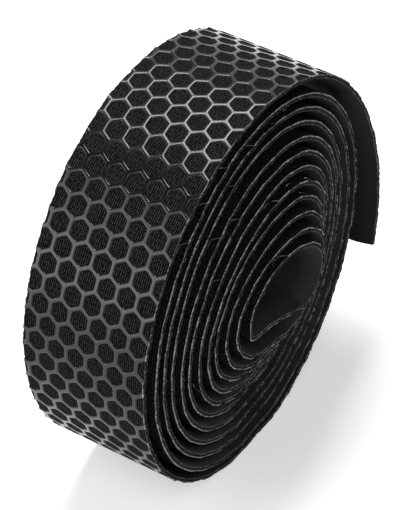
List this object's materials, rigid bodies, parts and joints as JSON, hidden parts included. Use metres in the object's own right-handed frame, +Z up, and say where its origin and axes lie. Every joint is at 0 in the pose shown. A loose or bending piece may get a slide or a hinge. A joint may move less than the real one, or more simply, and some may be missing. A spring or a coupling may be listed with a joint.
{
  "type": "handlebar tape roll",
  "caption": "Padded tape for wrapping a drop handlebar, wound into a roll, with a honeycomb of raised ribs on its outer face.",
  "frame": {"origin": "middle of the small flat spot that the roll rests on, straight below the winding's axis", "axes": "+Z up, Y along the winding's axis with -Y the side that the inner turns stand out of, +X towards the loose outer end"},
  "size_m": [0.0978, 0.0404, 0.089],
  "materials": {
    "tape": "matt woven-textured cells between glossier raised ribs, with a smooth dark back"
  },
  "bodies": {
    "root": {"tape": "tape"}
  },
  "joints": []
}
